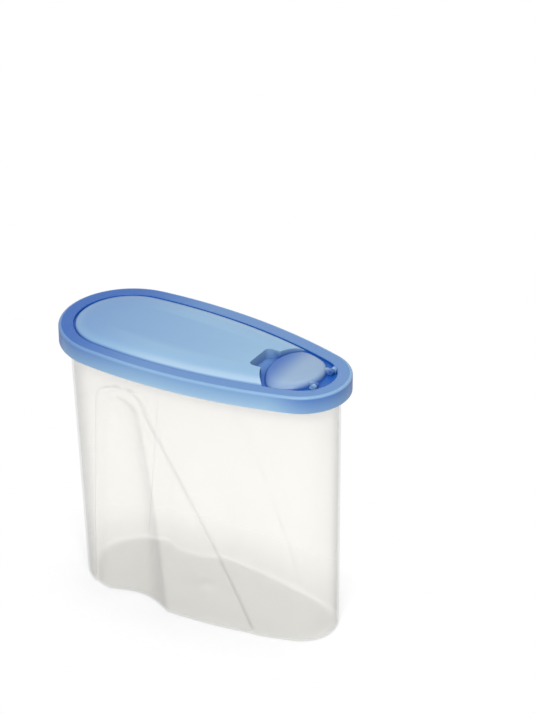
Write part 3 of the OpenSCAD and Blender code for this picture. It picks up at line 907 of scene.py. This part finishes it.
def ramp(value, start, length):
    """A soft step from 0 at the start to 1 after a length."""
    return smooth((value - start) / length)


def peak(value, centre, half):
    """1 at the centre, down to 0 at half the width on both sides."""
    return max(0.0, 1 - abs(value - centre) / half)


# %% [markdown]
# On the lid the rim is deep and the panel is pale. The groove and the well get the
# deepest blue and the pocket a deep one, all painted shade, as does the panel's edge by
# the groove. The round rear end takes painted shade all over. The panel's slope is
# palest, a painted sheen. The skirt is paler at its lower edge, painted light, and deeper
# at both ends, painted shade, and the rounded edge of the rim is a paler painted highlight.

# %% Tint of the lid, with painted shade and highlights
# Painted shade: the rear end, the skirt's ends, the groove, the well, the pocket and the panel's edge.
# Painted light: the skirt's lower edge, the rim's rounded edge and the slope's sheen.
REAR_SHADE, SKIRT_REAR_SHADE, SKIRT_TIP_SHADE = 0.3, 0.5, 0.35
SKIRT_LOW_PAINTED_LIGHT, SKIRT_HIGH_TINT, RIM_EDGE_HIGHLIGHT, RIM_TINT = 0.1, 0.5, 0.3, 0.64
GROOVE_SHADE, WELL_SHADE, POCKET_SHADE = 1.0, 1.0, 0.62
PANEL_TINT, PANEL_EDGE_SHADE, SLOPE_SHEEN = 0.2, 0.6, 0.14
RIM_TOP_Z, CUT_D, POCKET_END = LID_RIM_Z - 0.6, 0.4, POCKET_X + 9


def lid_tint_and_shade(x, y, z):
    k = depth_in(LID_EGG, x, y)
    # Painted shade, growing towards the round rear end.
    rear = REAR_SHADE * ramp(-x, 10, 90)
    if k < RIM_EDGE_R + 0.1:
        # On the skirt: painted shade towards both ends, painted light at the lower edge, and a painted
        # highlight on the rounded edge of the rim.
        ends = SKIRT_REAR_SHADE * ramp(-x, 98, 18) + SKIRT_TIP_SHADE * ramp(x, 75, 35)
        side = mix(SKIRT_LOW_PAINTED_LIGHT, SKIRT_HIGH_TINT, (z - LID_RIM_Z + SKIRT_H) / SKIRT_H)
        return rear + mix(ends + side, RIM_EDGE_HIGHLIGHT, ramp(z, LID_RIM_Z - 2.0, 1.4))
    if k < PANEL_IN:
        # The rim's band is the dye; the groove below it is the deepest blue, painted shade.
        return rear + (RIM_TINT if z > RIM_TOP_Z else GROOVE_SHADE)
    if crown_z(k) - z > CUT_D:
        # The well and the pocket are painted shade.
        return WELL_SHADE if x > POCKET_END else POCKET_SHADE
    # Painted shade on the panel beside the groove, and a painted sheen on its slope.
    edge_shade = PANEL_EDGE_SHADE * (1 - ramp(k, PANEL_IN, 1.8))
    return rear + PANEL_TINT + edge_shade - SLOPE_SHEEN * ramp(-k, -22, 8)


paint_tint_and_shade(lid, lid_tint_and_shade)

# %% [markdown]
# The flap is darker along its round rear edge and where its edge rolls down, both painted
# shade. Its knuckles and pins, past its nose, are thick and get nearly the deepest blue,
# dye and painted shade together.

# %% Tint of the flap, with painted shade
# The rear edge and the rolled-down edge are painted shade; the knuckles are dye and painted shade.
FLAP_TINT, BEHIND_SHADE, ROLL_SHADE, KNUCKLE_TINT_AND_SHADE = 0.24, 0.65, 0.6, 0.9
FLAP_FRONT = FLAP_CENTRE + flap_reach(0, 0) + 0.3


def flap_tint_and_shade(x, y, z):
    # Past the nose: the knuckles, thick, deepened further with painted shade.
    if x > FLAP_FRONT:
        return KNUCKLE_TINT_AND_SHADE
    under = roll_z(x, y, ROLL_W, 0) - z
    # Painted shade along the round rear edge and under the rolled-down edge.
    behind_shade = BEHIND_SHADE * (1 - ramp(x, FLAP_X - FLAP_R + 3, 22))
    return FLAP_TINT + max(behind_shade, ROLL_SHADE * ramp(under, 0, 3.0))


paint_tint_and_shade(flap, flap_tint_and_shade)

# %% [markdown]
# The tub uses the same attribute for something else: how milky its plastic looks, and
# where light and shade are painted. 0 is a painted highlight, 0.25 is the plain wall and 1
# is painted shade. The floor gets painted shade and the corner round it a painted
# highlight. Along the edge of the panel the outer corner gets a line of painted shade and
# the inner corner a line of painted highlight, a fine double line.

# %% Tint of the tub, with painted highlights and painted shade
# The floor value and the grey line are painted shade; the bright line and the bright foot are painted
# highlights.
WALL_TINT, FLOOR_SHADE = 0.25, 0.5
FOOT_HIGHLIGHT_TOP, FLOOR_IN = 2.5, 5.5
SHADE_LINE_SHARE, HIGHLIGHT_LINE_SHARE = (0.25, 0.25), (0.8, 0.19)


def tub_tint_and_shade(x, y, z):
    # The floor gets painted shade, fading to a painted highlight round its edge.
    if z < FOOT_HIGHLIGHT_TOP and depth_in(BASE_EGG, x, y) > FLOOR_IN:
        return FLOOR_SHADE * (1 - ramp(z, 1.7, 0.5))
    share = panel_share(x, z)
    # A line of painted shade outside the panel's edge and a line of painted highlight inside it.
    shade_line, highlight_line = peak(share, *SHADE_LINE_SHARE), peak(share, *HIGHLIGHT_LINE_SHARE)
    painted_lines = (1 - WALL_TINT) * shade_line - WALL_TINT * highlight_line
    # The foot is a painted highlight, fading into the plain wall above it.
    return (WALL_TINT + painted_lines) * ramp(z, FOOT_HIGHLIGHT_TOP, 3)


paint_tint_and_shade(tub, tub_tint_and_shade)

# %% [markdown]
# ## Materials
# All three pieces are polypropylene, injection moulded. Natural polypropylene is milky:
# light goes through it and spreads. The lid and the flap hold a blue dye. One small
# function turns hex colours to linear ones, and one adds a node with its settings.

# %% Material helpers
def linear(hex_colour):
    """An sRGB hex colour as linear red, green, blue and alpha."""
    parts = [int(hex_colour[i:i + 2], 16) / 255 for i in (1, 3, 5)]
    return [c / 12.92 if c <= 0.04045 else ((c + 0.055) / 1.055) ** 2.4 for c in parts] + [1.0]


def add_node(tree, kind, settings=None, links=None):
    """Adds a node, sets its values and links its inputs from other sockets."""
    node = tree.nodes.new(kind)
    for name, value in (settings or {}).items():
        if name in node.inputs:
            node.inputs[name].default_value = value
        else:
            setattr(node, name, value)
    for name, socket in (links or {}).items():
        tree.links.new(socket, node.inputs[name])
    return node


def new_material(name):
    material = bpy.data.materials.new(name)
    material.use_nodes = True
    material.node_tree.nodes.clear()
    return material, material.node_tree


# %% [markdown]
# A steel mould leaves a fine grain, and thin walls shrink into slow waves. To the eye the
# grain breaks up the gloss, and the waves bend the reflections. The real grain is about a
# tenth of a millimetre. It is drawn coarser, because it would not show otherwise.

# %% Surface of moulded polypropylene
GRAIN_MM, GRAIN_HEIGHT = 0.7, 0.03 * MM
WAVE_MM, WAVE_HEIGHT = 22.0, 0.6 * MM
PLASTIC_IOR = 1.49


def moulded_bump(tree, strength):
    place = add_node(tree, "ShaderNodeTexCoord").outputs["Object"]
    grain = add_node(tree, "ShaderNodeTexNoise", {"Scale": 1 / (GRAIN_MM * MM), "Detail": 2.0},
                     {"Vector": place})
    wave = add_node(tree, "ShaderNodeTexNoise", {"Scale": 1 / (WAVE_MM * MM), "Detail": 1.0},
                    {"Vector": place})
    slow = add_node(tree, "ShaderNodeBump", {"Strength": strength, "Distance": WAVE_HEIGHT},
                    {"Height": wave.outputs["Fac"]})
    fine = add_node(tree, "ShaderNodeBump", {"Strength": strength, "Distance": GRAIN_HEIGHT},
                    {"Height": grain.outputs["Fac"], "Normal": slow.outputs["Normal"]})
    return fine.outputs["Normal"]


# %% [markdown]
# Natural polypropylene has no dye, so the far wall and the floor show through it, pale
# and soft. Glass-like transmission would bend the view and turn the tub dark. So each
# face simply lets a constant share of the light pass. Where a wall turns away from the
# eye, the view goes through more plastic, and its colour gets greyer.

# %% Milky polypropylene
WALL_OPACITY = 0.20
# The brightest milk colours the painted highlights and the grey one the painted shade; the plain one is
# the wall's own colour.
HIGHLIGHT_MILK, PLAIN_MILK, SHADE_MILK, STEEP_GREY = "#FFFFFA", "#FBF7EE", "#A6A8A5", "#333635"


def milky_polypropylene():
    material, tree = new_material("natural_polypropylene")
    tint_and_shade = add_node(tree, "ShaderNodeAttribute", {"attribute_name": "tint_and_shade"})
    shade = add_node(tree, "ShaderNodeValToRGB", links={"Fac": tint_and_shade.outputs["Fac"]})
    shade.color_ramp.elements[0].color = linear(HIGHLIGHT_MILK)
    shade.color_ramp.elements[1].color = linear(SHADE_MILK)
    shade.color_ramp.elements.new(WALL_TINT).color = linear(PLAIN_MILK)
    turn = add_node(tree, "ShaderNodeLayerWeight", {"Blend": 0.5})
    steep = add_node(tree, "ShaderNodeMapRange", {"From Min": 0.45, "From Max": 1.0},
                     {"Value": turn.outputs["Facing"]})
    colour = add_node(tree, "ShaderNodeMix", {"data_type": "RGBA"})
    colour.inputs["B"].default_value = linear(STEEP_GREY)
    tree.links.new(steep.outputs["Result"], colour.inputs["Factor"])
    tree.links.new(shade.outputs["Color"], colour.inputs["A"])
    shader = add_node(tree, "ShaderNodeBsdfPrincipled", {
        "Roughness": 0.18,
        "IOR": PLASTIC_IOR,
        "Specular IOR Level": 0.6,
        "Alpha": WALL_OPACITY,
    }, {"Base Color": colour.outputs["Result"], "Normal": moulded_bump(tree, 0.25)})
    add_node(tree, "ShaderNodeOutputMaterial", links={"Surface": shader.outputs["BSDF"]})
    return material


# %% [markdown]
# The dyed plastic is satin and nearly opaque. Its colour runs from pale to deep with the
# painted tint, shade and highlights, and steep faces add to it. The flap is a little
# greyer than the lid.

# %% Blue polypropylene
# The palest blue shows only painted light and sheen; the deep blue is thick dye and the painted shade of
# grooves and hollows.
THIN_SHARE = 0.2
DEEP_BLUE_AND_SHADE = "#1A56A8"


def blue_polypropylene(name, painted_light_blue, thin):
    material, tree = new_material(name)
    tint_and_shade = add_node(tree, "ShaderNodeAttribute", {"attribute_name": "tint_and_shade"})
    turn = add_node(tree, "ShaderNodeLayerWeight", {"Blend": 0.5})
    steep = add_node(tree, "ShaderNodeMapRange", {"From Min": 0.66, "From Max": 1.0, "To Max": 0.7},
                     {"Value": turn.outputs["Facing"]})
    depth = add_node(tree, "ShaderNodeMath", {"operation": "ADD", "use_clamp": True})
    tree.links.new(tint_and_shade.outputs["Fac"], depth.inputs[0])
    tree.links.new(steep.outputs["Result"], depth.inputs[1])
    colour = add_node(tree, "ShaderNodeValToRGB", links={"Fac": depth.outputs["Value"]})
    colour.color_ramp.elements[0].color = linear(painted_light_blue)
    colour.color_ramp.elements[1].color = linear(DEEP_BLUE_AND_SHADE)
    colour.color_ramp.elements.new(THIN_SHARE).color = linear(thin)
    shader = add_node(tree, "ShaderNodeBsdfPrincipled", {
        "Roughness": 0.36,
        "IOR": PLASTIC_IOR,
        "Specular IOR Level": 0.3,
        "Alpha": 0.96,
    }, {"Base Color": colour.outputs["Color"], "Normal": moulded_bump(tree, 0.5)})
    add_node(tree, "ShaderNodeOutputMaterial", links={"Surface": shader.outputs["BSDF"]})
    return material


# %% [markdown]
# Each fine mesh rides on the body of its CAD piece, gets its material and takes the
# piece's place in the render.

# %% Dress the three pieces
def dress(piece, material, body, slot, *nodes):
    piece.data.materials.clear()
    piece.data.materials.append(material)
    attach(piece, body)
    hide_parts(*nodes)
    print(piece.name, "rides on", body, "in", material.name)


lid_blue = blue_polypropylene("blue_polypropylene", "#ACC4D9", "#89ADCC")
flap_blue = blue_polypropylene("blue_polypropylene_flap", "#A7BBCE", "#8CA5C0")
dress(tub, milky_polypropylene(), "container", "natural_plastic", "container_body")
dress(lid, lid_blue, "lid", "blue_plastic", "lid")
dress(flap, flap_blue, "flap", "blue_plastic_flap", "spout_flap")

# %% [markdown]
# ## Floor and light
# The photograph has a pure white background. A floor that only scatters light would look
# grey, so eye rays see it glow white, except in an oval under the tub, where a soft
# shadow stays. The floor lies a hair below the tub, so that two faces never share one
# plane.

# %% Rays that see white
def direct_rays(tree):
    """1 for rays that the eye, a gloss or glass sends out, 0 for light that spreads."""
    path = add_node(tree, "ShaderNodeLightPath")
    first = add_node(tree, "ShaderNodeMath", {"operation": "MAXIMUM"})
    tree.links.new(path.outputs["Is Camera Ray"], first.inputs[0])
    tree.links.new(path.outputs["Is Transmission Ray"], first.inputs[1])
    second = add_node(tree, "ShaderNodeMath", {"operation": "MAXIMUM"})
    tree.links.new(first.outputs["Value"], second.inputs[0])
    tree.links.new(path.outputs["Is Glossy Ray"], second.inputs[1])
    return second.outputs["Value"]


# %% Floor material
WHITE = (1, 1, 1, 1)
OVAL_LENGTH, OVAL_WIDTH = 0.24, 0.12
FADE_START, FADE_END = 0.42, 0.75


def white_floor():
    material, tree = new_material("white_floor")
    matt = add_node(tree, "ShaderNodeBsdfDiffuse", {"Color": WHITE})
    glow = add_node(tree, "ShaderNodeEmission", {"Color": WHITE, "Strength": 1.0})
    place = add_node(tree, "ShaderNodeTexCoord")
    oval = add_node(tree, "ShaderNodeVectorMath", {"operation": "MULTIPLY"},
                    {"Vector": place.outputs["Object"]})
    oval.inputs[1].default_value = (1 / OVAL_LENGTH, 1 / OVAL_WIDTH, 0)
    far = add_node(tree, "ShaderNodeVectorMath", {"operation": "LENGTH"},
                   {"Vector": oval.outputs["Vector"]})
    fade = add_node(tree, "ShaderNodeMapRange", {"From Min": FADE_START, "From Max": FADE_END},
                    {"Value": far.outputs["Value"]})
    share = add_node(tree, "ShaderNodeMath", {"operation": "MULTIPLY"})
    tree.links.new(direct_rays(tree), share.inputs[0])
    tree.links.new(fade.outputs["Result"], share.inputs[1])
    both = add_node(tree, "ShaderNodeMixShader", links={"Fac": share.outputs["Value"]})
    tree.links.new(matt.outputs["BSDF"], both.inputs[1])
    tree.links.new(glow.outputs["Emission"], both.inputs[2])
    add_node(tree, "ShaderNodeOutputMaterial", links={"Surface": both.outputs["Shader"]})
    return material


# %% Floor
STAGE_SIZE = 3.0
STAGE_DROP = 0.4 * MM

floor_bm = bmesh.new()
bmesh.ops.create_grid(floor_bm, x_segments=1, y_segments=1, size=STAGE_SIZE)
floor_mesh = bpy.data.meshes.new("floor")
floor_bm.to_mesh(floor_mesh)
floor_bm.free()
floor_mesh.materials.append(white_floor())
floor = bpy.data.objects.new("floor", floor_mesh)
floor.location.z = -STAGE_DROP
bpy.context.scene.collection.objects.link(floor)
print("the floor lies", STAGE_DROP / MM, "mm below the tub")

# %% [markdown]
# The sky is white to the eye too, but dim as a lamp. So most of the light comes from two
# large lamps: the key from the front right, and a wide one from above and behind.

# %% Sky
SKY_POWER = 0.41

world = bpy.data.worlds.new("studio")
world.use_nodes = True
world.node_tree.nodes.clear()
bpy.context.scene.world = world
tree = world.node_tree
dim = add_node(tree, "ShaderNodeBackground", {"Color": WHITE, "Strength": SKY_POWER})
white = add_node(tree, "ShaderNodeBackground", {"Color": WHITE, "Strength": 1.0})
sky = add_node(tree, "ShaderNodeMixShader", links={"Fac": direct_rays(tree)})
tree.links.new(dim.outputs["Background"], sky.inputs[1])
tree.links.new(white.outputs["Background"], sky.inputs[2])
add_node(tree, "ShaderNodeOutputWorld", links={"Surface": sky.outputs["Shader"]})


# %% Lamps
def softbox(name, place, target, size, power):
    """A square lamp of a size in metres and a power in watts, aimed at a target."""
    lamp = bpy.data.lights.new(name, "AREA")
    lamp.shape = "SQUARE"
    lamp.size = size
    lamp.energy = power
    holder = bpy.data.objects.new(name, lamp)
    holder.location = place
    aim = Vector(target) - Vector(place)
    holder.rotation_mode = "QUATERNION"
    holder.rotation_quaternion = aim.to_track_quat("-Z", "Y")
    bpy.context.scene.collection.objects.link(holder)
    print(name, "lamp:", power, "W")


softbox("key", (0.45, -0.9, 1.2), (0, 0, 0.12), size=0.7, power=16)
softbox("top", (-0.1, 0.5, 1.8), (0, 0, 0.1), size=1.0, power=8)
bpy.context.scene.view_settings.view_transform = "Standard"
